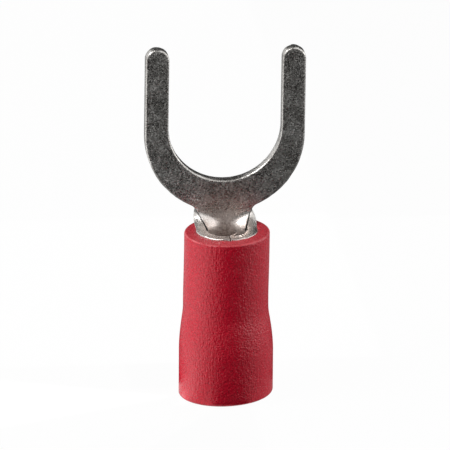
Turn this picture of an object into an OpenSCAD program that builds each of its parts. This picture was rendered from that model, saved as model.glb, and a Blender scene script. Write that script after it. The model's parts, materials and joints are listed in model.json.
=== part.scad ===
// Insulated fork terminal for a small wire: a stamped and rolled fork of tinned copper
// in a pressed-on vinyl sleeve. Millimetres, +Z up.
// It stands on the sleeve's wire-entry end, on the barrel axis; the barrel's seam faces -Y.

/* [Sheet] */
// thickness of the copper sheet that the fork and its barrel are made of
sheet_t = 0.55; // [0.45:0.05:0.7]

/* [Fork] */
// clear width between the tines, for an M5 or number 10 stud
slot_w = 5.3; // [4.3:0.1:6.5]
// width of one tine
tine_w = 1.1; // [0.9:0.05:1.6]
// length of the tines from the centre of the slot's round end to their tips
tine_len = 3.8; // [2.5:0.05:6]
// metal between the slot's round end and the foot of the fork
web_h = 1.54; // [1.2:0.02:2]
// width of the neck between the fork and the barrel
neck_w = 2.62; // [2.3:0.02:2.9]
// height of the neck from the barrel's top edge to where the fork widens
neck_len = 0.54; // [0.5:0.02:1.2]
// inside radius where the fork widens out of the neck
fork_fillet = 0.4; // [0.3:0.05:0.6]

/* [Barrel] */
// bore that the bare conductor goes into
bore_d = 1.8; // [1.5:0.05:2]
// length of the rolled barrel
barrel_len = 4.1; // [3:0.1:5]
// gap left at the butted seam of the roll
seam_gap = 0.05; // [0.03:0.01:0.1]
// height over which the flat neck curls into the barrel
curl_h = 0.64; // [0.62:0.02:1]
// how the neck's flat middle tapers as it curls: 1 is a straight V, more narrows it sooner
flat_taper = 1.2; // [1:0.1:2]
// inside radius of the blank where the neck meets the top edge of the barrel
shoulder_r = 0.5; // [0.3:0.02:0.6]
// chamfer at the wire end of the bore
bore_chamfer = 0.15; // [0.1:0.05:0.25]
// number of ring grooves in the bore, which bite the conductor when the barrel is crimped
grip_rings = 3; // [1:1:4]
// width of one ring groove
ring_w = 0.3; // [0.2:0.05:0.5]
// depth of one ring groove
ring_depth = 0.08; // [0.05:0.01:0.12]

/* [Sleeve] */
// wall of the sleeve around the barrel
grip_wall = 0.54; // [0.4:0.02:0.7]
// wall of the sleeve's wide skirt
skirt_wall = 0.5; // [0.4:0.02:0.6]
// inside diameter of the skirt, for the wire's insulation
entry_d = 3.42; // [3.2:0.02:3.8]
// length of the wide skirt at the wire end
skirt_len = 2.1; // [1.5:0.1:3]
// length of the flare between the skirt and the grip
flare_len = 2; // [1.5:0.1:3]
// how far the flare begins above the barrel's wire end
flare_lead = 0.2; // [0.1:0.05:0.4]
// how far the barrel's top edge stands out of the sleeve
rim_stand = 0.06; // [0.02:0.01:0.1]
// gap between the barrel and the sleeve pressed on it
press_gap = 0.01; // [0.005:0.005:0.03]
// edge radius of the sleeve's fork end
grip_edge_r = 0.1; // [0.05:0.01:0.2]
// edge radius of the sleeve's wire end
skirt_edge_r = 0.18; // [0.1:0.01:0.2]

/* [Hidden] */
$fn = 96;

bore_r = bore_d / 2;
barrel_r = bore_r + sheet_t;
mid_r = bore_r + sheet_t / 2;
half_t = sheet_t / 2;

// heights, from the wire-entry end up
flare_top_z = skirt_len + flare_len;
barrel_end_z = flare_top_z - flare_lead;
rim_z = barrel_end_z + barrel_len;
sleeve_top_z = rim_z - rim_stand;
round_z = rim_z;
flat_z = round_z + curl_h;

// fork outline: neck, fillets, round foot, slot and tines
neck_half = neck_w / 2;
slot_r = slot_w / 2;
fork_r = slot_r + tine_w;
fillet_x = neck_half + fork_fillet;
fillet_z = rim_z + neck_len;
foot_rise = sqrt(pow(fork_r + fork_fillet, 2) - pow(fillet_x, 2));
foot_z = fillet_z + foot_rise;
slot_z = foot_z - fork_r + web_h + slot_r;
tip_r = tine_w / 2;
tip_z = slot_z + tine_len;
tine_x = slot_r + tip_r;
touch = fork_r / (fork_r + fork_fillet);

// sleeve radii
seat_r = barrel_r + press_gap;
grip_r = seat_r + grip_wall;
entry_r = entry_d / 2;
skirt_r = entry_r + skirt_wall;

// mesh of the curled neck
columns = 40;
shoulder_rows = 10;
fillet_rows = 4;
// how far the curled neck reaches into the barrel and the fork, and how far it keeps inside their faces
weld_reach = 0.2;
weld_skin = 0.002;
over = 1;
edge_steps = 6;
flare_steps = 20;

function ease(u) = let (c = min(1, max(0, u))) c * c * (3 - 2 * c);

// how far a round inside corner of radius r widens the blank, at a height h from the corner's centre
function fillet_gain(r, h) = r - sqrt(pow(r, 2) - pow(h, 2));

// half-width of the flat blank at a height: the neck, wider at the fork's fillet and at the barrel's shoulder
function fork_gain(z) = z <= fillet_z ? 0 : fillet_gain(fork_fillet, z - fillet_z);
function shoulder_gain(z) =
    let (h = max(0, z - rim_z)) h >= shoulder_r ? 0 : fillet_gain(shoulder_r, shoulder_r - h);
function blank_half(z) = neck_half + fork_gain(min(z, flat_z)) + shoulder_gain(z);

// half-width of the sheet that is still flat at a height: all at the tongue, none at the barrel's top edge
function flat_half(z) = blank_half(flat_z) * pow(min(1, max(0, (z - round_z) / curl_h)), flat_taper);

// a point of the sheet, s along its width and n out from its middle, rolled like the barrel past the flat
function curled(s, n, z) =
    let (flat = min(abs(s), flat_half(z)), a = (abs(s) - flat) / mid_r * 180 / PI)
    [sign(s) * (flat + (mid_r + n) * sin(a)), (mid_r + n) * cos(a), z];

// heights of the rows of the curled neck, closest together where the shoulder is steep
neck_rows = concat(
    [round_z - weld_reach],
    [for (i = [0 : shoulder_rows]) round_z + shoulder_r * (1 - cos(90 * i / shoulder_rows))],
    [for (i = [1 : fillet_rows]) let (z = round_z + shoulder_r) z + (flat_z - z) * i / fillet_rows],
    [flat_z + weld_reach]);

module curled_neck() {
    row_points = 2 * (columns + 1);
    last = len(neck_rows) - 1;
    n = half_t - weld_skin;
    points = [
        for (z = neck_rows) let (s = blank_half(z) - weld_skin)
            for (side = [-1, 1]) for (j = [0 : columns]) curled(s * (2 * j / columns - 1), side * n, z)];
    function inner(i, j) = i * row_points + j;
    function outer(i, j) = inner(i, j) + columns + 1;
    faces = concat(
        [for (i = [0 : last - 1]) for (j = [0 : columns - 1]) each [
            [inner(i, j), inner(i + 1, j), inner(i + 1, j + 1)],
            [inner(i, j), inner(i + 1, j + 1), inner(i, j + 1)],
            [outer(i, j), outer(i + 1, j + 1), outer(i + 1, j)],
            [outer(i, j), outer(i, j + 1), outer(i + 1, j + 1)]]],
        [for (i = [0 : last - 1]) each [
            [inner(i, 0), outer(i + 1, 0), inner(i + 1, 0)],
            [inner(i, 0), outer(i, 0), outer(i + 1, 0)],
            [inner(i, columns), inner(i + 1, columns), outer(i + 1, columns)],
            [inner(i, columns), outer(i + 1, columns), outer(i, columns)]]],
        [for (j = [0 : columns - 1]) each [
            [inner(0, j), inner(0, j + 1), outer(0, j + 1)],
            [inner(0, j), outer(0, j + 1), outer(0, j)],
            [inner(last, j), outer(last, j + 1), inner(last, j + 1)],
            [inner(last, j), outer(last, j), outer(last, j + 1)]]]);
    polyhedron(points, faces);
}

// one concave fillet between the neck and the round foot
module fork_fillet_shape() {
    difference() {
        polygon([[0, fillet_z], [fillet_x, fillet_z], [fillet_x * touch, foot_z - foot_rise * touch],
            [0, foot_z - foot_rise * touch]]);
        translate([fillet_x, fillet_z]) circle(fork_fillet);
    }
}

module fork_outline() {
    difference() {
        union() {
            translate([0, foot_z]) circle(fork_r);
            translate([-fork_r, foot_z]) square([2 * fork_r, tip_z - tip_r - foot_z]);
            for (side = [-1, 1]) translate([side * tine_x, tip_z - tip_r]) circle(tip_r);
            translate([-neck_half, rim_z]) square([neck_w, neck_len]);
            fork_fillet_shape();
            mirror([1, 0]) fork_fillet_shape();
        }
        translate([0, slot_z]) circle(slot_r);
        translate([-slot_r, slot_z]) square([slot_w, tine_len + over]);
        translate([-fork_r, rim_z - over]) square([2 * fork_r, curl_h + over]);
    }
}

// ring grooves spaced evenly along the bore
module bore_rings() {
    for (i = [1 : grip_rings]) translate([0, 0, barrel_end_z + barrel_len * i / (grip_rings + 1)])
        rotate_extrude() polygon([
            [bore_r - ring_depth, -ring_w / 2], [bore_r, -ring_w / 2], [bore_r + ring_depth, -ring_w / 4],
            [bore_r + ring_depth, ring_w / 4], [bore_r, ring_w / 2], [bore_r - ring_depth, ring_w / 2]]);
}

module barrel() {
    difference() {
        translate([0, 0, barrel_end_z]) cylinder(r = barrel_r, h = barrel_len);
        translate([0, 0, barrel_end_z - over]) cylinder(r = bore_r, h = barrel_len + 2 * over);
        translate([0, 0, barrel_end_z]) cylinder(r1 = bore_r + bore_chamfer, r2 = bore_r, h = bore_chamfer);
        bore_rings();
        translate([-seam_gap / 2, -barrel_r - over, barrel_end_z - over])
            cube([seam_gap, barrel_r + over, barrel_len + 2 * over]);
    }
}

module fork_body() {
    color([0.55, 0.54, 0.53]) union() {
        translate([0, barrel_r, 0]) rotate([90, 0, 0]) linear_extrude(sheet_t) fork_outline();
        curled_neck();
        barrel();
    }
}

// points of a rounded profile corner, centre (r, z), from angle a0 to a1
function corner(r, z, radius, a0, a1) =
    [for (i = [0 : edge_steps]) let (a = a0 + (a1 - a0) * i / edge_steps)
        [r + radius * cos(a), z + radius * sin(a)]];

// points of a smooth change of radius from (r0, z0) to (r1, z1)
function flare(r0, z0, r1, z1) =
    [for (i = [0 : flare_steps]) let (u = i / flare_steps) [r0 + (r1 - r0) * ease(u), z0 + (z1 - z0) * u]];

// points of a change of radius that starts along the wall at (r0, z0) and ends in a corner at (r1, z1)
function belly(r0, z0, r1, z1) =
    [for (i = [0 : flare_steps]) let (u = i / flare_steps)
        [r0 + (r1 - r0) * (1 - cos(90 * u)), z0 + (z1 - z0) * u]];

module insulating_sleeve() {
    half_grip_edge = grip_edge_r / 2;
    half_skirt_edge = skirt_edge_r / 2;
    color([0.62, 0.03, 0.06]) rotate_extrude() polygon(concat(
        corner(skirt_r - skirt_edge_r, skirt_edge_r, skirt_edge_r, -90, 0),
        belly(skirt_r, skirt_len, grip_r, flare_top_z),
        corner(grip_r - grip_edge_r, sleeve_top_z - grip_edge_r, grip_edge_r, 0, 90),
        corner(seat_r + half_grip_edge, sleeve_top_z - half_grip_edge, half_grip_edge, 90, 180),
        flare(seat_r, barrel_end_z, entry_r, skirt_len),
        corner(entry_r + half_skirt_edge, half_skirt_edge, half_skirt_edge, 180, 270)));
}

fork_body();
insulating_sleeve();
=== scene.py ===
"""Looks of an insulated fork terminal: a rolled fork of tinned copper in a vinyl sleeve, on a stage."""

import json
import math

import bmesh
import bpy
from bpy.props import FloatProperty, FloatVectorProperty, IntProperty, PointerProperty
from mathutils import Matrix, Vector, noise


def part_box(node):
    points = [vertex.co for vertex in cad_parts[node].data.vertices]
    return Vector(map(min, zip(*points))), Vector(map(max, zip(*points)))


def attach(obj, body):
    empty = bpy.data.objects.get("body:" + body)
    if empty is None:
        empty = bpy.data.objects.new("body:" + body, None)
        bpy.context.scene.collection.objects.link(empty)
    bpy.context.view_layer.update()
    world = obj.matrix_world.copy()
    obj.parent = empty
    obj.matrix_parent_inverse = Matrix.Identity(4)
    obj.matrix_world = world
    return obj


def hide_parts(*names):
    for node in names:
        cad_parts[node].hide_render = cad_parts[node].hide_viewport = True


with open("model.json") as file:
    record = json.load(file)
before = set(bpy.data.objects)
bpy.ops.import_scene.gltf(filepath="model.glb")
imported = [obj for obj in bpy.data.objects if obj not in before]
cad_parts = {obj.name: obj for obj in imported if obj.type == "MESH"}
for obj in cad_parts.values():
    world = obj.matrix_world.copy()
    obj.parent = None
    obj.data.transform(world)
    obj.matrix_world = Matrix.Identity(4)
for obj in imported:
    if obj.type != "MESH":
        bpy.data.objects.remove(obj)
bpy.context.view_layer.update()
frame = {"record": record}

bl_info = {
    "name": "Fork Terminal",
    "version": (1, 0, 0),
    "blender": (4, 5, 0),
    "location": "View3D > Sidebar > Terminal",
    "description": "Models an insulated fork terminal over its packed solids, on a plain stage",
    "category": "Object",
}

MM = 0.001
WHITE = (1, 1, 1, 1)
FORK_LOW, FORK_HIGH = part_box("fork_body")
SLEEVE_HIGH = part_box("insulating_sleeve")[1]
MOUNTS = {mount["name"]: mount for mount in frame["record"]["mounts"]}


def mount_radius(name):
    """Radius of one of the record's mounts, in metres."""
    return MOUNTS[name]["dims"]["r_mm"] * MM


# Sizes and colours


def number(name, description, default, **limits):
    return FloatProperty(name=name, description=description, default=default, **limits)


def length(name, description, default, least=0):
    return number(name, description, default, min=least, unit="LENGTH", precision=6)


def angle(name, description, degrees):
    return number(name, description, math.radians(degrees), subtype="ANGLE")


def tint(name, description, default):
    return FloatVectorProperty(name=name, description=description, default=default, min=0, max=1, size=3,
                               subtype="COLOR")


class ForkSizes(bpy.types.PropertyGroup):
    """Sizes and finish of the stamped and rolled fork."""
    slot_r: length("Slot radius", "Half of the clear width between the tines", mount_radius("stud_slot"))
    slot_z: length("Slot height", "Height of the centre of the slot's round end",
                   MOUNTS["stud_slot"]["pos_m"][2])
    bore_r: length("Bore radius", "Inside radius of the rolled barrel", mount_radius("conductor_bore"))
    web_h: length("Web", "Metal between the slot's round end and the foot", 1.54 * MM)
    neck_half: length("Neck half-width", "Half of the neck's width", 1.31 * MM)
    neck_len: length("Neck length", "From the barrel's top edge to where the fork widens", 0.54 * MM)
    fork_fillet: length("Fork fillet", "Inside radius where the fork widens out of the neck", 0.4 * MM)
    shoulder_r: length("Shoulder radius", "Inside radius between the neck and the barrel's edge", 0.5 * MM)
    curl_h: length("Curl height", "Height over which the flat neck curls into the barrel", 0.64 * MM)
    flat_taper: number("Flat taper", "How soon the neck's flat middle narrows as it curls", 1.2, min=1)
    rim_stand: length("Rim stand", "How far the barrel's top edge stands out of the sleeve", 0.06 * MM)
    seam_gap: length("Seam gap", "Gap left at the butted seam of the roll", 0.05 * MM)
    front_edge: length("Front edge radius", "Rounding that the punch leaves on the front edges", 0.08 * MM)
    back_edge: length("Back edge radius", "Rounding left on the back edges", 0.04 * MM)
    # painted shadow: sets the size of the dark spot painted at each crease's lower end
    pit: length("Pit radius", "Radius of the dark pit at each crease's lower end", 0.13 * MM)
    crease: length("Crease depth", "Depth of the crease where the neck's edges are rolled in", 0.05 * MM)
    ragged: length("Ragged rim", "Unevenness of the barrel's sheared top edge", 0.02 * MM)
    rings: IntProperty(name="Rings", description="Ring grooves in the bore", default=3, min=1)
    ring_w: length("Ring width", "Width of one ring groove", 0.3 * MM)
    ring_depth: length("Ring depth", "Depth of one ring groove", 0.08 * MM)
    lean: angle("Lean", "Turn of the tongue in its own plane", 0.35)
    drift: length("Drift", "Sideways set of the tongue over the barrel", -0.045 * MM, least=-MM)
    cell: length("Mesh cell", "Size of the mesh cells where the sheet is rolled", 0.12 * MM)
    tin: tint("Tin", "Colour of the tin plate", (1.0, 0.985, 0.955))
    tarnish: tint("Tarnish", "Colour of the duller patches of the plate", (0.42, 0.4, 0.375))
    # coppery tint laid on the middle of the neck
    copper: tint("Copper", "Colour of the copper that shows through at the neck", (0.7, 0.5, 0.43))
    # painted shade: near-black colour laid in the creases, the pits at their lower ends, the rim's inner
    # edge and the fork's lower outer edges
    painted_shade_colour: tint("Grime", "Colour of the dirt in the neck's creases", (0.03, 0.028, 0.026))


class SleeveSizes(bpy.types.PropertyGroup):
    """Sizes and finish of the vinyl sleeve."""
    entry_r: length("Entry radius", "Inside radius of the skirt", mount_radius("wire_entry"))
    seat_gap: length("Seat gap", "Gap between the barrel and the sleeve", 0.01 * MM)
    grip_r: length("Grip radius", "Outside radius around the barrel", 2.0 * MM)
    skirt_len: length("Skirt length", "Length of the wide skirt at the wire end", 2.1 * MM)
    flare_len: length("Flare length", "Length of the flare between the skirt and the grip", 2.0 * MM)
    grip_edge: length("Grip edge radius", "Edge radius of the fork end", 0.1 * MM)
    skirt_edge: length("Skirt edge radius", "Edge radius of the wire end", 0.13 * MM)
    unevenness: length("Unevenness", "Depth of the slow waves in the soft wall", 0.006 * MM)
    bow: length("Bow", "How far the grip bows to the left of the axis", 0.035 * MM)
    lip_rise: length("Lip rise", "How far the press fit raises the fork end round the barrel", 0.045 * MM)
    cut_slope: FloatVectorProperty(name="Cut slope", description="Slope of the fork end's cut along X and Y",
                                   default=(0.025, 0.03), size=2)
    end_slope: number("End slope", "Slope of the wire end's cut along X", 0.045)
    turns: IntProperty(name="Turn steps", description="Steps in one turn of the sleeve", default=160, min=24)
    vinyl: tint("Vinyl", "Colour of the vinyl", (0.64, 0.004, 0.026))
    pit: tint("Pit", "Colour of the fine pits in the vinyl", (0.32, 0.0015, 0.012))
    # colour of the rubbed patches, and of the painted light on the cut fork end with its painted highlight
    # along the outer edge
    pale_wear_and_highlight: tint("Bloom", "Colour of the paler, rubbed patches", (0.8, 0.12, 0.14))


class StageSizes(bpy.types.PropertyGroup):
    """Camera and floor."""
    azimuth: angle("Azimuth", "Camera's turn round the part", -6.53)
    elevation: angle("Elevation", "Camera's height above the horizon", 18.7)
    roll: angle("Roll", "Camera's turn about its own axis", -0.486)
    distance: length("Distance", "From the camera to the part", 476 * MM)
    lens: number("Lens", "Focal length in millimetres", 816.3)
    sensor: number("Sensor", "Width of the camera's sensor in millimetres", 36)
    aim: FloatVectorProperty(name="Aim", description="Point on the axis that the framing is measured from",
                             default=(0, 0, 8 * MM), size=3, subtype="XYZ", unit="LENGTH")
    slide: FloatVectorProperty(name="Slide", description="Frame's centre from the aim, right and up",
                               default=(-0.0933 * MM, 0.2178 * MM), size=2, unit="LENGTH")
    floor: tint("Floor", "Colour of the floor", (0.86, 0.86, 0.86))
    floor_side: length("Floor side", "Side of the square floor", 500 * MM)


# Shader wiring


class Signal:
    """A shader socket that can stand in a sum: each operator adds one Math node."""

    def __init__(self, finish, socket):
        self.finish, self.socket = finish, socket

    def math(self, operation, first, second):
        return self.finish.node("ShaderNodeMath", {"operation": operation}, {0: first, 1: second})

    def __add__(self, other):
        return self.math("ADD", self, other)

    def __radd__(self, other):
        return self.math("ADD", other, self)

    def __sub__(self, other):
        return self.math("SUBTRACT", self, other)

    def __rsub__(self, other):
        return self.math("SUBTRACT", other, self)

    def __mul__(self, other):
        return self.math("MULTIPLY", self, other)

    def __rmul__(self, other):
        return self.math("MULTIPLY", other, self)


class Finish:
    """The node tree of one material or of the world."""

    def __init__(self, owner):
        owner.use_nodes = True
        self.owner, self.tree = owner, owner.node_tree
        self.tree.nodes.clear()

    def node(self, kind, settings=None, sockets=None, out=0):
        """Adds a node, its settings first and then its sockets' values or links, and gives one output."""
        made = self.tree.nodes.new(kind)
        for name, value in (settings or {}).items():
            setattr(made, name, value)
        for name, value in (sockets or {}).items():
            if isinstance(value, Signal):
                self.tree.links.new(value.socket, made.inputs[name])
            else:
                made.inputs[name].default_value = value
        return Signal(self, made.outputs[out]) if made.outputs else None

    def place(self, stretch=(1, 1, 1), turn=(0, 0, 0)):
        """Object coordinates, turned and then stretched along the axes."""
        where = self.node("ShaderNodeTexCoord", out="Object")
        return self.node("ShaderNodeMapping", None, {"Vector": where, "Rotation": turn, "Scale": stretch})

    def along(self, axes):
        """One coordinate for each letter of the axes."""
        where = self.place()
        return [self.node("ShaderNodeSeparateXYZ", None, {0: where}, out=axis) for axis in axes]

    def off_axis(self):
        """Distance from the barrel's axis."""
        x, y = self.along("XY")
        return self.node("ShaderNodeMath", {"operation": "SQRT"}, {0: x * x + y * y})

    def grain(self, where, cell, detail=3, rough=0.55):
        """Noise from 0 to 1 with patches about as wide as the cell."""
        return self.node("ShaderNodeTexNoise", None,
                         {"Vector": where, "Scale": 1 / cell, "Detail": detail, "Roughness": rough})

    def grit(self, where, cell):
        """A random level from 0 to 1 in each cell."""
        colour = self.node("ShaderNodeTexVoronoi", None, {"Vector": where, "Scale": 1 / cell}, out="Color")
        return self.node("ShaderNodeSeparateColor", None, {0: colour})

    def spread(self, signal, low, high):
        """Stretches the part of a signal between low and high to 0 to 1, with soft ends."""
        return self.node("ShaderNodeMapRange", {"interpolation_type": "SMOOTHSTEP"},
                         {"Value": signal, "From Min": low, "From Max": high})

    def blend(self, factor, first, second):
        """Mixes two colours."""
        return self.node("ShaderNodeMix", {"data_type": "RGBA"},
                         {"Factor": factor, 6: first, 7: second}, out=2)

    def bump(self, height, depth, strength=1.0):
        """Surface relief of that depth."""
        return self.node("ShaderNodeBump", None, {"Height": height, "Distance": depth, "Strength": strength})

    def output(self, surface):
        """Ends the tree in the surface of its material or world."""
        kind = "World" if isinstance(self.owner, bpy.types.World) else "Material"
        self.node(f"ShaderNodeOutput{kind}", None, {"Surface": surface})


def rgba(colour):
    return (*colour, 1.0)


def tinned_copper(sizes):
    """Dull tin plate: bright grain, clouds, rubbed lines, a coppery neck, painted shade in the creases and
    on the fork's lower edges, a painted highlight over the sleeve, and a matt bore.
    """
    finish = Finish(bpy.data.materials.new("tinned_copper"))
    where = finish.place()
    clouds = finish.spread(finish.grain(where, cell=0.9 * MM, detail=2, rough=0.5), low=0.3, high=0.7)
    speck = finish.grit(where, cell=0.048 * MM)
    speck = speck * speck
    lines = finish.place(stretch=(1, 1, 0.1), turn=(0, 0.5, 0))
    rubbed = finish.spread(finish.grain(lines, cell=0.06 * MM, detail=1, rough=0.5), low=0.68, high=0.78)
    inside, neck_tint = bore_mask(finish, sizes), neck_mask(finish)
    # painted highlight: the plate is made lighter from 0.9 mm over the sleeve down, where the neck's cheeks
    # catch bright reflections
    painted_highlight = near_sleeve(finish, far=0.9 * MM, near=0.4 * MM)
    # the crease attribute carries painted shade for the creases, the pits, the rim's inner edge and the
    # fork's lower outer edges
    painted_shade, sheared = (finish.node("ShaderNodeAttribute", {"attribute_name": name}, out="Fac")
                     for name in ("crease", "sheared"))
    bright = (clouds * 0.25 + speck * 0.75) * (1 - sheared * 0.25)
    plate = finish.blend(bright + painted_highlight * 0.45, rgba(sizes.tarnish), rgba(sizes.tin))
    coppery = finish.blend(neck_tint * 0.35, plate, rgba(sizes.copper))
    # painted shade: darkens the plate towards the shade colour where the crease attribute is high
    colour = finish.blend(finish.spread(painted_shade, low=0.15, high=0.6), coppery, rgba(sizes.painted_shade_colour))
    matt = clouds * 0.04 + speck * 0.14 + inside * 0.1 + painted_shade * 0.3
    polish = rubbed * 0.08 + sheared * 0.08
    height = finish.grain(where, cell=0.06 * MM, detail=2) - rubbed * 0.3
    finish.output(finish.node("ShaderNodeBsdfPrincipled", None, {
        "Base Color": colour, "Metallic": 1.0, "Roughness": 0.24 + matt - polish,
        "Normal": finish.bump(height, depth=0.02 * MM, strength=0.7)}))
    return finish.owner


def near_sleeve(finish, far, near):
    """1 at the near height over the sleeve and below it, 0 at the far one and above."""
    [z] = finish.along("Z")
    return finish.spread(z, low=SLEEVE_HIGH.z + far, high=SLEEVE_HIGH.z + near)


def neck_mask(finish):
    """1 on the middle of the neck and 0 on the tines."""
    [x] = finish.along("X")
    sideways = finish.node("ShaderNodeMath", {"operation": "ABSOLUTE"}, {0: x})
    across = finish.spread(sideways, low=1.7 * MM, high=0.5 * MM)
    return across * near_sleeve(finish, far=2.8 * MM, near=0.8 * MM)


def bore_mask(finish, sizes):
    """1 on the wall of the bore, 0 on the rest of the fork."""
    wall = finish.spread(finish.off_axis(), low=sizes.bore_r + 0.06 * MM, high=sizes.bore_r + 0.02 * MM)
    return near_sleeve(finish, far=0.6 * MM, near=0.2 * MM) * wall


def red_vinyl(sizes):
    """Semi-matte soft vinyl: orange peel, lines drawn along the tube, paler rubbed patches, and a paler cut
    fork end that is partly a whitened cut and partly painted light, with a painted highlight along its outer
    edge.
    """
    finish = Finish(bpy.data.materials.new("red_vinyl"))
    where = finish.place()
    peel = finish.grain(where, cell=0.09 * MM, detail=1, rough=0.5)
    drawn = finish.grain(finish.place(stretch=(1, 1, 0.25)), cell=0.07 * MM, detail=1, rough=0.5)
    pits = finish.grit(finish.place(stretch=(1, 1, 0.75)), cell=0.06 * MM)
    rubbed = finish.spread(finish.grain(where, cell=0.7 * MM, detail=4, rough=0.6), low=0.42, high=0.8)
    pitted = finish.blend(pits * 0.4, rgba(sizes.vinyl), rgba(sizes.pit))
    # the cut fork end is paled partly as a whitened cut and partly as painted light from above, with a
    # painted highlight along its outer edge
    colour = finish.blend(rubbed * 0.05 + end_mask(finish, sizes), pitted, rgba(sizes.pale_wear_and_highlight))
    finish.output(finish.node("ShaderNodeBsdfPrincipled", None, {
        "Base Color": colour, "Roughness": 0.24 + rubbed * 0.06 + pits * 0.08, "Specular IOR Level": 0.5,
        "Normal": finish.bump(peel * 0.6 + drawn * 0.4, depth=0.06 * MM)}))
    return finish.owner


def end_mask(finish, sizes):
    """Paler vinyl on the cut fork end, partly a whitened cut and partly painted light on the upward face,
    and a patchy painted highlight along its outer edge.
    """
    x, y, z = finish.along("XYZ")
    cut = z - x * sizes.cut_slope[0] - y * sizes.cut_slope[1]
    end = finish.spread(cut, low=SLEEVE_HIGH.z - 0.09 * MM, high=SLEEVE_HIGH.z - 0.02 * MM)
    edge = finish.spread(finish.off_axis(), low=sizes.grip_r - 0.1 * MM, high=sizes.grip_r - 0.05 * MM)
    patches = finish.grain(finish.place(), cell=0.35 * MM, detail=2, rough=0.5)
    patchy_highlight = finish.spread(patches, low=0.3, high=0.6)
    # painted light on the end face, and a patchy painted highlight along its outer edge
    return end * (0.3 + edge * patchy_highlight * 0.6)


# Modelling by hand


class Drawing:
    """An outline in the XZ plane, drawn point by point in edit mode with extrude and spin."""

    def __init__(self, name, x, z):
        bpy.ops.object.select_all(action="DESELECT")
        bpy.ops.mesh.primitive_plane_add(size=MM, location=(0, 0, 0))
        self.piece = bpy.context.object
        self.piece.name = self.piece.data.name = name
        bpy.ops.object.mode_set(mode="EDIT")
        bpy.ops.mesh.select_mode(type="VERT")
        bpy.ops.mesh.merge(type="CENTER")
        bpy.ops.transform.translate(value=(x, 0, z))
        self.x, self.z = x, z

    def run(self, x, z, steps=1):
        """A straight line to (x, z)."""
        move = ((x - self.x) / steps, 0, (z - self.z) / steps)
        for _ in range(steps):
            bpy.ops.mesh.extrude_region_move(TRANSFORM_OT_translate={"value": move})
        self.x, self.z = x, z

    def turn(self, x, z, degrees, steps):
        """An arc about (x, z), counter-clockwise as seen from the front."""
        turn = math.radians(degrees)
        bpy.ops.mesh.spin(steps=steps, angle=turn, center=(x, 0, z), axis=(0, 1, 0))
        dx, dz = self.x - x, self.z - z
        self.x = x + dx * math.cos(turn) - dz * math.sin(turn)
        self.z = z + dx * math.sin(turn) + dz * math.cos(turn)

    def sway(self, x, z, steps, shape):
        """A curve to (x, z) whose radius changes by that shape, from 0 to 1."""
        x0, z0 = self.x, self.z
        for i in range(1, steps + 1):
            self.run(x0 + (x - x0) * shape(i / steps), z0 + (z - z0) * i / steps)


def ease(u):
    """0 to 1 with soft ends."""
    u = min(1, max(0, u))
    return u * u * (3 - 2 * u)


def rise(value, start, over):
    """0 before the start and 1 past it by that much, softly; a negative stretch falls the other way."""
    return ease((value - start) / over)


def pick(piece, what, test):
    """Selects the verts, edges or faces that pass the test, and nothing else."""
    bpy.ops.mesh.select_all(action="DESELECT")
    mesh = bmesh.from_edit_mesh(piece.data)
    bpy.context.tool_settings.mesh_select_mode = [what == kind for kind in ("verts", "edges", "faces")]
    for item in getattr(mesh, what):
        item.select_set(test(item))
    bmesh.update_edit_mesh(piece.data)


def merge_all(distance):
    """Merges the doubles of the mesh in edit mode and leaves all of it selected."""
    bpy.ops.mesh.select_all(action="SELECT")
    bpy.ops.mesh.remove_doubles(threshold=distance)
    bpy.ops.mesh.select_all(action="SELECT")


def finish_piece(piece, material, node, sharp):
    """Smooths a piece and hangs it in the frame in place of its CAD node."""
    piece.data.materials.clear()
    piece.data.materials.append(material)
    bpy.ops.object.shade_smooth_by_angle(angle=math.radians(sharp))
    normals = piece.modifiers.new("normals", "WEIGHTED_NORMAL")
    normals.keep_sharp = True
    bpy.ops.object.modifier_apply(modifier=normals.name)
    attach(piece, "root")
    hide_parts(node)
    piece.select_set(False)


# Fork

INNER = 1  # material slot that marks the blank's inner faces while it is cut
FACE = 0.995  # share of the half-thickness past which a point is on one of the sheet's faces
LEVEL = 1e-7  # how near to a face's plane a point on it is
INNER_SIDE = 0.45  # share of the thickness past which a point is on the side that is rolled inwards

# Cells of the blank: how far inside its edges they start and end, and how high the barrel's are
BAND = 1.6  # width of the uncut band inside the blank's edges, in edge radii
NECK_TOP, NECK_MARGIN = 0.45 * MM, 0.03 * MM
BARREL_FOOT, BARREL_HEAD, BARREL_CELL = 0.37 * MM, 0.3 * MM, 0.5 * MM
NECK_FOOT, SEAM_MARGIN = 0.2 * MM, 0.21 * MM

# Creases with their painted shade, and ragged rim: heights over the rim, and the lengths over which they
# fade
EDGE_REACH = 1.05  # edge radii within which a point belongs to the rounded edge
FOLD = 11  # brings the fold to about its full depth at the middle of the rounded edge
SLANT = 0.7  # share of a crease's depth along each of the two ways that it goes in
NECK_CREASE = 0.8  # depth of the crease along the neck, as a share of the tear's
CREASE_TOP, CREASE_FADE = 0.85 * MM, 0.25 * MM
TEAR = 0.13 * MM  # width of the tear at a crease's lower end, and its distance from the shoulder's corner
TEAR_TOP, TEAR_FADE = 0.3 * MM, 0.2 * MM
PIT_DROP = 0.04 * MM  # depth of the dark pit's middle under the rim
PIT_FADE = 1.5  # how fast the pit's painted shadow fades into the rounded edge
JAG = 0.17 * MM  # length of the ragged rim's waves
JAG_ROW = 3 * MM  # row of the noise that those waves are read from
JAG_LIFT = 0.6  # what is added to the waves to give the rim's crease its depth
RIM_FADE = 0.1 * MM  # length over which the crease gives way to the ragged rim
RAGGED_DROP, RAGGED_FADE = 0.2 * MM, 0.15 * MM

# Painted shade on the fork's lower outer edge, which faces down: its width, its top under the foot's centre
# and its end over the rim
FOOT_SHADE, FOOT_BAND = 0.42, 0.2 * MM
FOOT_TOP, FOOT_TOP_FADE = 0.8 * MM, 1.0 * MM
FOOT_END, FOOT_END_FADE = 0.35 * MM, 0.2 * MM

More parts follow.
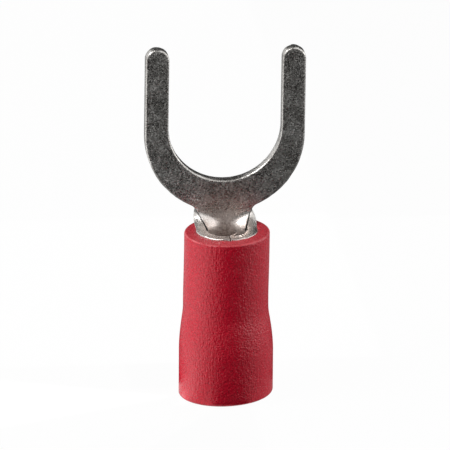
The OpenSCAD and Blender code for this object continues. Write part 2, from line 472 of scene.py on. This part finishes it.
# Lean of the tongue: heights over the rim of its pivot and of its start
LEAN_PIVOT, LEAN_FOOT, LEAN_FADE = 1.0 * MM, 0.1 * MM, 0.6 * MM


def rim_height(sizes):
    """Height of the barrel's top edge."""
    return SLEEVE_HIGH.z + sizes.rim_stand


def foot_centre(sizes):
    """Height of the centre of the fork's round foot."""
    return sizes.slot_z - sizes.slot_r - sizes.web_h + FORK_HIGH.x


def seam_half(sizes):
    """Half of the width of the blank that the barrel is rolled from."""
    return math.pi * (sizes.bore_r + FORK_HIGH.y) / 2 - sizes.seam_gap / 2


def draw_blank(sizes):
    """The stamped blank's outline, its right half from the slot's root round to the barrel's wire end."""
    fork_r, tip_z, barrel_end = FORK_HIGH.x, FORK_HIGH.z, FORK_LOW.z
    rim_z, foot_z, seam_s = rim_height(sizes), foot_centre(sizes), seam_half(sizes)
    tip_r = (fork_r - sizes.slot_r) / 2
    fillet_x, fillet_z = sizes.neck_half + sizes.fork_fillet, rim_z + sizes.neck_len
    bend = math.degrees(math.acos(fillet_x / (fork_r + sizes.fork_fillet)))
    shoulder_x, shoulder_z = sizes.neck_half + sizes.shoulder_r, rim_z + sizes.shoulder_r

    draw = Drawing("fork", 0, sizes.slot_z - sizes.slot_r)
    draw.turn(0, sizes.slot_z, 90, steps=48)
    draw.run(sizes.slot_r, tip_z - tip_r, steps=6)
    draw.turn(sizes.slot_r + tip_r, tip_z - tip_r, -180, steps=32)
    draw.run(fork_r, foot_z, steps=8)
    draw.turn(0, foot_z, -bend, steps=40)
    draw.turn(fillet_x, fillet_z, bend, steps=14)
    draw.run(sizes.neck_half, shoulder_z)
    draw.turn(shoulder_x, shoulder_z, 90, steps=18)
    draw.run(seam_s, rim_z, steps=26)
    draw.run(seam_s, barrel_end, steps=20)
    draw.run(0, barrel_end, steps=30)
    bpy.ops.mesh.select_all(action="SELECT")
    bpy.ops.mesh.symmetrize(direction="POSITIVE_X")
    merge_all(0.002 * MM)
    bpy.ops.mesh.edge_face_add()
    if len(bmesh.from_edit_mesh(draw.piece.data).faces) != 1:
        raise RuntimeError("the fork's outline did not close into one face")
    return draw.piece


def even(low, high, size):
    """Places from low to high, about that far apart."""
    count = max(1, round((high - low) / size))
    return [low + (high - low) * i / count for i in range(count + 1)]


def cut_inner(piece, axis, places, top):
    """Cuts the blank's inner faces below a height into strips along one axis, so that they can be rolled."""
    normal = [float(axis == "xyz"[i]) for i in range(3)]
    for at in places:
        pick(piece, "faces", lambda face: face.material_index == INNER and face.calc_center_median().z < top)
        bpy.ops.mesh.bisect(plane_co=[at * n for n in normal], plane_no=normal)


def ring_places(sizes):
    """Heights of the middles of the ring grooves in the bore."""
    step = (rim_height(sizes) - FORK_LOW.z) / (sizes.rings + 1)
    return [FORK_LOW.z + step * (i + 1) for i in range(sizes.rings)]


def cut_blank(piece, sizes):
    """Insets the blank inside its edges and cuts the rest into cells for the rings, the rim and the roll."""
    bpy.ops.mesh.inset(thickness=max(sizes.front_edge, sizes.back_edge) * BAND, use_boundary=True)
    piece.data.materials.append(None)
    piece.data.materials.append(None)
    piece.active_material_index = INNER
    bpy.ops.object.material_slot_assign()
    rim_z, neck_top = rim_height(sizes), foot_centre(sizes) - FORK_HIGH.x + NECK_TOP
    side_s = seam_half(sizes) - SEAM_MARGIN
    barrel = even(FORK_LOW.z + BARREL_FOOT, rim_z - BARREL_HEAD, BARREL_CELL)
    rings = [z + sizes.ring_w * edge for z in ring_places(sizes) for edge in (-0.5, -0.25, 0.25, 0.5)]
    neck = even(rim_z - NECK_FOOT, neck_top - NECK_MARGIN, sizes.cell / 2)
    cut_inner(piece, "z", [neck_top], FORK_HIGH.z)
    for places in (barrel, rings, neck):
        cut_inner(piece, "z", places, neck_top)
    cut_inner(piece, "x", even(-side_s, side_s, sizes.cell), neck_top)


def thicken(piece, thick):
    """Gives the blank its thickness, half of it on each side."""
    bpy.ops.object.mode_set(mode="OBJECT")
    wall = piece.modifiers.new("wall", "SOLIDIFY")
    wall.thickness, wall.offset = thick, 0
    bpy.ops.object.modifier_apply(modifier=wall.name)
    bpy.ops.object.mode_set(mode="EDIT")
    bpy.ops.mesh.select_all(action="SELECT")
    bpy.ops.mesh.normals_make_consistent(inside=False)


def round_edges(piece, plane_y, radius):
    """Rounds the sheared edges round the face that lies in that plane."""
    def sheared(edge):
        on_face = all(abs(vert.co.y - plane_y) < LEVEL for vert in edge.verts)
        return on_face and any(abs(face.normal.y) < 0.5 for face in edge.link_faces)
    pick(piece, "edges", sheared)
    bpy.ops.mesh.bevel(offset=radius, segments=5, profile=0.5, affect="EDGES", clamp_overlap=False)


def mark_edges(piece, thick):
    """Marks the sheared and rounded edges, which are darker than the rolled faces."""
    sheared = piece.data.attributes.new("sheared", "FLOAT", "POINT")
    for vert in piece.data.vertices:
        sheared.data[vert.index].value = float(abs(vert.co.y) < thick / 2 * FACE)


def cut_rings(piece, sizes, thick):
    """Presses the ring grooves into the blank's inner side."""
    for vert in piece.data.vertices:
        if vert.co.y < -INNER_SIDE * thick:
            off = min(abs(vert.co.z - z) for z in ring_places(sizes))
            vert.co.y += sizes.ring_depth * min(1, max(0, 2 - 4 * off / sizes.ring_w))


def from_edge(s, z, sizes):
    """How far a point of the neck or the barrel's top is inside the blank's outline."""
    s, rim_z = abs(s), rim_height(sizes)
    corner_s, corner_z = sizes.neck_half + sizes.shoulder_r, rim_z + sizes.shoulder_r
    fillet_s, fillet_z = sizes.neck_half + sizes.fork_fillet, rim_z + sizes.neck_len
    if z > fillet_z:
        return math.hypot(s - fillet_s, z - fillet_z) - sizes.fork_fillet
    if z > corner_z:
        return sizes.neck_half - s
    if s < corner_s:
        return math.hypot(s - corner_s, z - corner_z) - sizes.shoulder_r
    return rim_z - z


def edge_shade(s, n, z, sizes, thick):
    """Painted shadow in the pit at each crease's lower end and painted shade on the fork's lower outer
    edges, which face down.
    """
    rim_z, foot_z = rim_height(sizes), foot_centre(sizes)
    from_corner = abs(s) - sizes.neck_half - sizes.shoulder_r
    pit = math.hypot(from_corner + TEAR, z - rim_z + PIT_DROP) / sizes.pit
    # painted shadow in the pit at the crease's lower end
    painted_shade = math.exp(-pit ** 2) * rise(n + thick / 2, sizes.front_edge, -sizes.front_edge / PIT_FADE)
    if abs(n) < thick / 2 * FACE and math.hypot(s, z - foot_z) > FORK_HIGH.x - FOOT_BAND:
        # painted shade on the fork's lower outer edges, which face down
        under = rise(z, foot_z - FOOT_TOP, -FOOT_TOP_FADE) * rise(z, rim_z + FOOT_END, FOOT_END_FADE)
        painted_shade = max(FOOT_SHADE * under, painted_shade)
    return painted_shade


def crease(piece, sizes, thick):
    """Folds a crease into the neck's front edges and leaves the rim ragged; paints shade into the creases,
    the pits at their lower ends, the rim's inner edge and the fork's lower outer edges.
    """
    painted_shade = piece.data.attributes.new("crease", "FLOAT", "POINT")
    rim_z, corner_s = rim_height(sizes), sizes.neck_half + sizes.shoulder_r
    for vert in piece.data.vertices:
        s, n, z = vert.co
        inward, depth = from_edge(s, z, sizes), n + thick / 2
        jag = noise.noise(Vector((s, 0, JAG_ROW)) * (1 / JAG))
        rim = rise(abs(s), corner_s, RIM_FADE)
        weight = 0
        if max(inward, depth) < sizes.front_edge * EDGE_REACH and z < rim_z + CREASE_TOP:
            fold = min(1, inward / sizes.front_edge) * min(1, depth / sizes.front_edge) * FOLD
            neck = rise(z, rim_z + CREASE_TOP, -CREASE_FADE) * (1 - rim)
            tear = math.exp(-((abs(s) - corner_s + TEAR) / TEAR) ** 2)
            tear *= rise(z, rim_z + TEAR_TOP, -TEAR_FADE)
            weight = min(1, neck * NECK_CREASE + tear + rim * max(0, JAG_LIFT + jag)) * min(1, fold)
            push = sizes.crease * weight * (1 + tear) * SLANT
            vert.co.y += push
            if z > rim_z - sizes.front_edge and abs(s) > corner_s:
                vert.co.z -= push
            else:
                vert.co.x -= math.copysign(push, s)
        # painted shade: the crease's weight, the pit's painted shadow and the foot's painted shade are
        # stored for the colour
        painted_shade.data[vert.index].value = max(weight, edge_shade(s, n, z, sizes, thick))
        vert.co.z += sizes.ragged * jag * rim * rise(z, rim_z - RAGGED_DROP, RAGGED_FADE)


def roll(piece, sizes):
    """Rolls the blank with the barrel's curve past a flat middle that narrows from the tongue to nothing."""
    middle, rim_z = (sizes.bore_r + FORK_HIGH.y) / 2, rim_height(sizes)
    for vert in piece.data.vertices:
        s, n, z = vert.co
        up = max(0, (z - rim_z) / sizes.curl_h)
        flat = min(abs(s), sizes.neck_half * up ** sizes.flat_taper if up < 1 else FORK_HIGH.x)
        turn = (abs(s) - flat) / middle
        x = math.copysign(flat + (middle + n) * math.sin(turn), s)
        vert.co = (x, (middle + n) * math.cos(turn), z)


def lean(piece, sizes):
    """Turns the tongue a little in its own plane, as a stamped one comes off the strip."""
    rim_z = rim_height(sizes)
    pivot_z = rim_z + LEAN_PIVOT
    sin, cos = math.sin(sizes.lean), math.cos(sizes.lean)
    for vert in piece.data.vertices:
        x, _, z = vert.co
        above = rise(z, rim_z + LEAN_FOOT, LEAN_FADE)
        turned_x = x * cos + (z - pivot_z) * sin + sizes.drift
        turned_z = pivot_z + (z - pivot_z) * cos - x * sin
        vert.co.x += (turned_x - x) * above
        vert.co.z += (turned_z - z) * above


class TERMINAL_OT_fork(bpy.types.Operator):
    """Stamps the fork's blank, rounds its edges and rolls its barrel"""
    bl_idname = "terminal.fork"
    bl_label = "Fork"

    def execute(self, context):
        sizes = context.scene.fork_sizes
        thick = FORK_HIGH.y - sizes.bore_r
        piece = draw_blank(sizes)
        cut_blank(piece, sizes)
        thicken(piece, thick)
        round_edges(piece, -thick / 2, sizes.front_edge)
        round_edges(piece, thick / 2, sizes.back_edge)
        bpy.ops.object.mode_set(mode="OBJECT")
        mark_edges(piece, thick)
        cut_rings(piece, sizes, thick)
        crease(piece, sizes, thick)
        roll(piece, sizes)
        lean(piece, sizes)
        bpy.ops.object.mode_set(mode="EDIT")
        bpy.ops.mesh.select_all(action="SELECT")
        bpy.ops.mesh.normals_make_consistent(inside=False)
        bpy.ops.object.mode_set(mode="OBJECT")
        finish_piece(piece, tinned_copper(sizes), "fork_body", sharp=50)
        return {"FINISHED"}


# Sleeve

SOFT_CORNER = 0.12  # share of the flare over which its top corner is rounded
WAVE = 1.3 * MM  # length of the slow waves in the wall
BOW_Z, BOW_LEN = 4.6 * MM, 1.5 * MM  # where the bow is deepest, and how far it reaches
WALL_DEPTH, WALL_FADE = 0.35 * MM, 0.1 * MM  # where the outer wall starts inside the skirt's radius
WIRE_END_FADE, FORK_END_FADE = 0.5 * MM, 0.4 * MM  # lengths over which the waves start at the two ends


def belly(u):
    """Starts along the wall and swells to a soft corner, which reaches past the swell's end."""
    v = 1 - u * (1 + SOFT_CORNER)
    if v > SOFT_CORNER:
        return 1 - math.sin(v * math.pi / 2)
    return 1 - math.pi / 8 / SOFT_CORNER * (v + SOFT_CORNER) ** 2


def soften(piece, sizes):
    """Slow waves and a bow in the outer wall, and the slant of the sleeve's two cut ends."""
    flare_top = sizes.skirt_len + sizes.flare_len
    for vert in piece.data.vertices:
        z = vert.co.z
        radius = math.hypot(vert.co.x, vert.co.y)
        outside = rise(radius, SLEEVE_HIGH.y - WALL_DEPTH, WALL_FADE)
        between = rise(z, 0, WIRE_END_FADE) * rise(z, SLEEVE_HIGH.z, -FORK_END_FADE)
        wave = noise.noise(vert.co * (1 / WAVE))
        push = 1 - sizes.unevenness * (0.5 + 0.5 * wave) * outside * between / radius
        vert.co.x *= push
        vert.co.y *= push
        vert.co.x -= sizes.bow * outside * math.exp(-((z - BOW_Z) / BOW_LEN) ** 2)
        upper = rise(z, flare_top, SLEEVE_HIGH.z - flare_top)
        lower = 1 - rise(z, 0, sizes.skirt_len)
        vert.co.z += upper * (sizes.cut_slope[0] * vert.co.x + sizes.cut_slope[1] * vert.co.y)
        vert.co.z += lower * sizes.end_slope * vert.co.x


class TERMINAL_OT_sleeve(bpy.types.Operator):
    """Turns the flared vinyl sleeve from its wall's outline"""
    bl_idname = "terminal.sleeve"
    bl_label = "Sleeve"

    def execute(self, context):
        sizes = context.scene.sleeve_sizes
        top, skirt_r = SLEEVE_HIGH.z, SLEEVE_HIGH.x
        seat_r = FORK_HIGH.y + sizes.seat_gap
        flare_top, barrel_end = sizes.skirt_len + sizes.flare_len, FORK_LOW.z
        lip, edge = sizes.grip_edge / 2, sizes.skirt_edge / 2
        draw = Drawing("sleeve", sizes.entry_r + edge, 0)
        draw.run(skirt_r - sizes.skirt_edge, 0, steps=3)
        draw.turn(skirt_r - sizes.skirt_edge, sizes.skirt_edge, 90, steps=8)
        draw.run(skirt_r, sizes.skirt_len, steps=14)
        draw.sway(sizes.grip_r, flare_top + SOFT_CORNER * sizes.flare_len, steps=28, shape=belly)
        draw.run(sizes.grip_r, top - sizes.grip_edge, steps=26)
        draw.turn(sizes.grip_r - sizes.grip_edge, top - sizes.grip_edge, 90, steps=7)
        draw.run(seat_r + lip, top + sizes.lip_rise, steps=4)
        draw.turn(seat_r + lip, top + sizes.lip_rise - lip, 90, steps=5)
        draw.run(seat_r, barrel_end, steps=4)
        draw.sway(sizes.entry_r, sizes.skirt_len, steps=16, shape=ease)
        draw.run(sizes.entry_r, edge, steps=6)
        draw.turn(sizes.entry_r + edge, edge, 90, steps=6)
        merge_all(0.001 * MM)
        bpy.ops.mesh.spin(steps=sizes.turns, angle=math.tau, center=(0, 0, 0), axis=(0, 0, 1))
        merge_all(0.001 * MM)
        bpy.ops.mesh.normals_make_consistent(inside=False)
        bpy.ops.object.mode_set(mode="OBJECT")
        soften(draw.piece, sizes)
        finish_piece(draw.piece, red_vinyl(sizes), "insulating_sleeve", sharp=60)
        return {"FINISHED"}


# Stage


def lying(x0, x1, y0, y1, z):
    """Corners of a card that lies level."""
    return (x0, y0, z), (x1, y0, z), (x0, y1, z), (x1, y1, z)


def standing(left, right, low, high):
    """Corners of a card that stands upright over the line from left to right."""
    return (*left, low), (*right, low), (*left, high), (*right, high)


# Corners in millimetres and glow of the cards that the part reflects
CARDS = {
    "front_floor": (((-140, -200, 0.1), (220, -200, 0.1), (-0.8, -2, 0.1), (0.8, -2, 0.1)), 0.03),
    "near_floor": (lying(-4.5, 4.5, 1, 4.5, 0.1), 0.03),
    "front_left_floor": (((-170, -106, 0.06), (-3, -4, 0.06), (-170, -70, 0.04), (-2, 0, 0.04)), 0.4),
    "left_floor": (((-130, -81, 0.05), (-1.9, -1.2, 0.05), (-141, 51, 0.05), (-2.2, -0.3, 0.05)), 1.5),
    "right_floor": (lying(1, 200, -150, 25, 0.05), 0.34),
    "left_shade": (((-60, -25, 0.07), (-20, -14, 0.07), (-60, 18, 0.07), (-20, 5, 0.07)), 0.9),
    "back_right_floor": (lying(8, 200, 25, 203, 0.05), 0.08),
    "back_left_floor": (lying(-60, 8, 4.5, 26, 0.02), 0.65),
    "behind_floor": (lying(-5.5, 9, 4.5, 26, 0.08), 0.02),
    "far_left_floor": (lying(-60, 8, 26, 203, 0.02), 0.35),
    "front": (standing((-70, -203), (70, -203), 0, 22), 0.03),
    "front_high": (standing((-160, -203), (70, -203), 22, 150), 0.2),
    "left_side": (standing((-92, 60), (-92, -95), 0, 75), 0.7),
    "right_side": (standing((92, -95), (92, 60), 0, 45), 1.8),
    "top": (lying(-60, 60, -25, 200, 150), 0.12),
    "top_front": (lying(-25, 25, -200, -25, 150), 0.4),
    "back": (standing((-60, 203), (250, 203), 0, 150), 0.05),
}
GLOSS_ONLY = {"left_side", "right_side"}  # cards that show in gloss and don't light the part

# Place, target and size in millimetres, and radiance, of the soft lights
SOFTBOXES = {
    "left_softbox": ((-100, -18, 75), (0, -8, 55), (150, 150), 1.5),
    "upper_left_softbox": ((-70, -25, 85), (0, 0, 8), (45, 45), 6.8),
    "right_softbox": ((100, -8, 26), (0, -8, 12), (130, 48), 4.0),
}
NO_GLOSS = {"right_softbox"}  # lights that show in no gloss
FLOOR_WHITE = 0.97  # share of white in the floor as the camera sees it; the rest takes the shadow
ROOM_FILL = 0.04  # strength of the room's own light
NEAR, FAR = 10 * MM, 10  # range of depths that the camera sees


def seen_as_background(finish):
    """1 for rays from the camera and for reflected and refracted ones, 0 for those that only carry light."""
    camera, glossy, through = (finish.node("ShaderNodeLightPath", out=f"Is {kind} Ray")
                               for kind in ("Camera", "Glossy", "Transmission"))
    return finish.node("ShaderNodeMath", {"operation": "MINIMUM"}, {0: camera + glossy + through, 1: 1.0})


def pale_ground(colour):
    """A plain floor that shows white to the camera and in reflections, and still takes the part's shadow."""
    finish = Finish(bpy.data.materials.new("pale_floor"))
    shown = seen_as_background(finish)
    plain = finish.node("ShaderNodeBsdfDiffuse", None, {"Color": rgba(colour)})
    white = finish.node("ShaderNodeEmission", None, {"Color": WHITE, "Strength": 1.0})
    finish.output(finish.node("ShaderNodeMixShader", None, {0: shown * FLOOR_WHITE, 1: plain, 2: white}))
    return finish.owner


def pale_room(scene):
    """A world that shows white behind the part and gives it a little fill light."""
    scene.world = bpy.data.worlds.new("pale_room")
    room = Finish(scene.world)
    shown = seen_as_background(room)
    fill, white = (room.node("ShaderNodeBackground", None, {"Color": WHITE, "Strength": strength})
                   for strength in (ROOM_FILL, 1.0))
    room.output(room.node("ShaderNodeMixShader", None, {0: shown, 1: fill, 2: white}))


def softbox(name, place, target, size, radiance):
    """A flat soft light of that radiance, turned to the target."""
    place, target = Vector(place) * MM, Vector(target) * MM
    lamp = bpy.data.lights.new(name, "AREA")
    lamp.shape = "RECTANGLE"
    lamp.size, lamp.size_y = (side * MM for side in size)
    lamp.energy = radiance * math.pi * lamp.size * lamp.size_y
    box = bpy.data.objects.new(name, lamp)
    bpy.context.scene.collection.objects.link(box)
    box.location = place
    box.rotation_euler = (target - place).to_track_quat("-Z", "Y").to_euler()
    box.visible_camera = False
    box.visible_glossy = name not in NO_GLOSS


def grey_card(name, corners, glow):
    """A flat card for reflections, which may also light the part."""
    bpy.ops.mesh.primitive_plane_add(size=1, location=(0, 0, 0))
    card = bpy.context.object
    card.name = name
    for vert, corner in zip(card.data.vertices, corners):
        vert.co = Vector(corner) * MM
    finish = Finish(bpy.data.materials.new(name))
    finish.output(finish.node("ShaderNodeEmission", None, {"Color": WHITE, "Strength": glow}))
    card.data.materials.append(finish.owner)
    card.visible_camera = card.visible_shadow = False
    card.visible_diffuse = name not in GLOSS_ONLY
    return card


def aimed_camera(scene, sizes):
    """A camera turned round the part, rolled about its own axis and slid across its own frame."""
    level = Vector((math.cos(sizes.azimuth), math.sin(sizes.azimuth), 0))
    back = Vector((math.sin(sizes.azimuth) * math.cos(sizes.elevation),
                   -math.cos(sizes.azimuth) * math.cos(sizes.elevation), math.sin(sizes.elevation)))
    up = back.cross(level)
    across = level * math.cos(sizes.roll) - up * math.sin(sizes.roll)
    upward = level * math.sin(sizes.roll) + up * math.cos(sizes.roll)
    lens = bpy.data.cameras.new("camera")
    lens.lens, lens.sensor_width = sizes.lens, sizes.sensor
    lens.clip_start, lens.clip_end = NEAR, FAR
    camera = bpy.data.objects.new("camera", lens)
    scene.collection.objects.link(camera)
    place = Vector(sizes.aim) + across * sizes.slide[0] + upward * sizes.slide[1] + back * sizes.distance
    turned = Matrix((across, upward, back)).transposed().to_4x4()
    camera.matrix_world = Matrix.Translation(place) @ turned
    return camera


class TERMINAL_OT_stage(bpy.types.Operator):
    """Sets the floor, the light and the camera"""
    bl_idname = "terminal.stage"
    bl_label = "Stage"

    def execute(self, context):
        sizes, scene = context.scene.stage_sizes, context.scene
        bpy.ops.object.select_all(action="DESELECT")
        low = -scene.sleeve_sizes.end_slope * SLEEVE_HIGH.x
        bpy.ops.mesh.primitive_plane_add(size=sizes.floor_side, location=(0, 0, low))
        floor = context.object
        floor.name = "floor"
        floor.data.materials.append(pale_ground(sizes.floor))
        cards = [grey_card(name, *card) for name, card in CARDS.items()]
        pale_room(scene)
        for name, light in SOFTBOXES.items():
            softbox(name, *light)
        scene.camera = aimed_camera(scene, sizes)
        scene.view_settings.view_transform = "Standard"
        return {"FINISHED"}


class TERMINAL_PT_panel(bpy.types.Panel):
    """Steps that make the terminal, and their sizes"""
    bl_idname = "TERMINAL_PT_panel"
    bl_label = "Fork Terminal"
    bl_space_type = "VIEW_3D"
    bl_region_type = "UI"
    bl_category = "Terminal"

    def draw(self, context):
        for step in ("fork", "sleeve", "stage"):
            box = self.layout.box()
            box.operator(f"terminal.{step}")
            values = getattr(context.scene, f"{step}_sizes")
            for name in values.bl_rna.properties.keys():
                if name not in {"rna_type", "name"}:
                    box.prop(values, name)


GROUPS = {"fork_sizes": ForkSizes, "sleeve_sizes": SleeveSizes, "stage_sizes": StageSizes}
CLASSES = (*GROUPS.values(), TERMINAL_OT_fork, TERMINAL_OT_sleeve, TERMINAL_OT_stage, TERMINAL_PT_panel)


def register():
    for cls in CLASSES:
        bpy.utils.register_class(cls)
    for name, group in GROUPS.items():
        setattr(bpy.types.Scene, name, PointerProperty(type=group))


def unregister():
    for name in GROUPS:
        delattr(bpy.types.Scene, name)
    for cls in reversed(CLASSES):
        bpy.utils.unregister_class(cls)


def main():
    register()
    bpy.ops.terminal.fork()
    bpy.ops.terminal.sleeve()
    bpy.ops.terminal.stage()


if __name__ == "__main__":
    main()
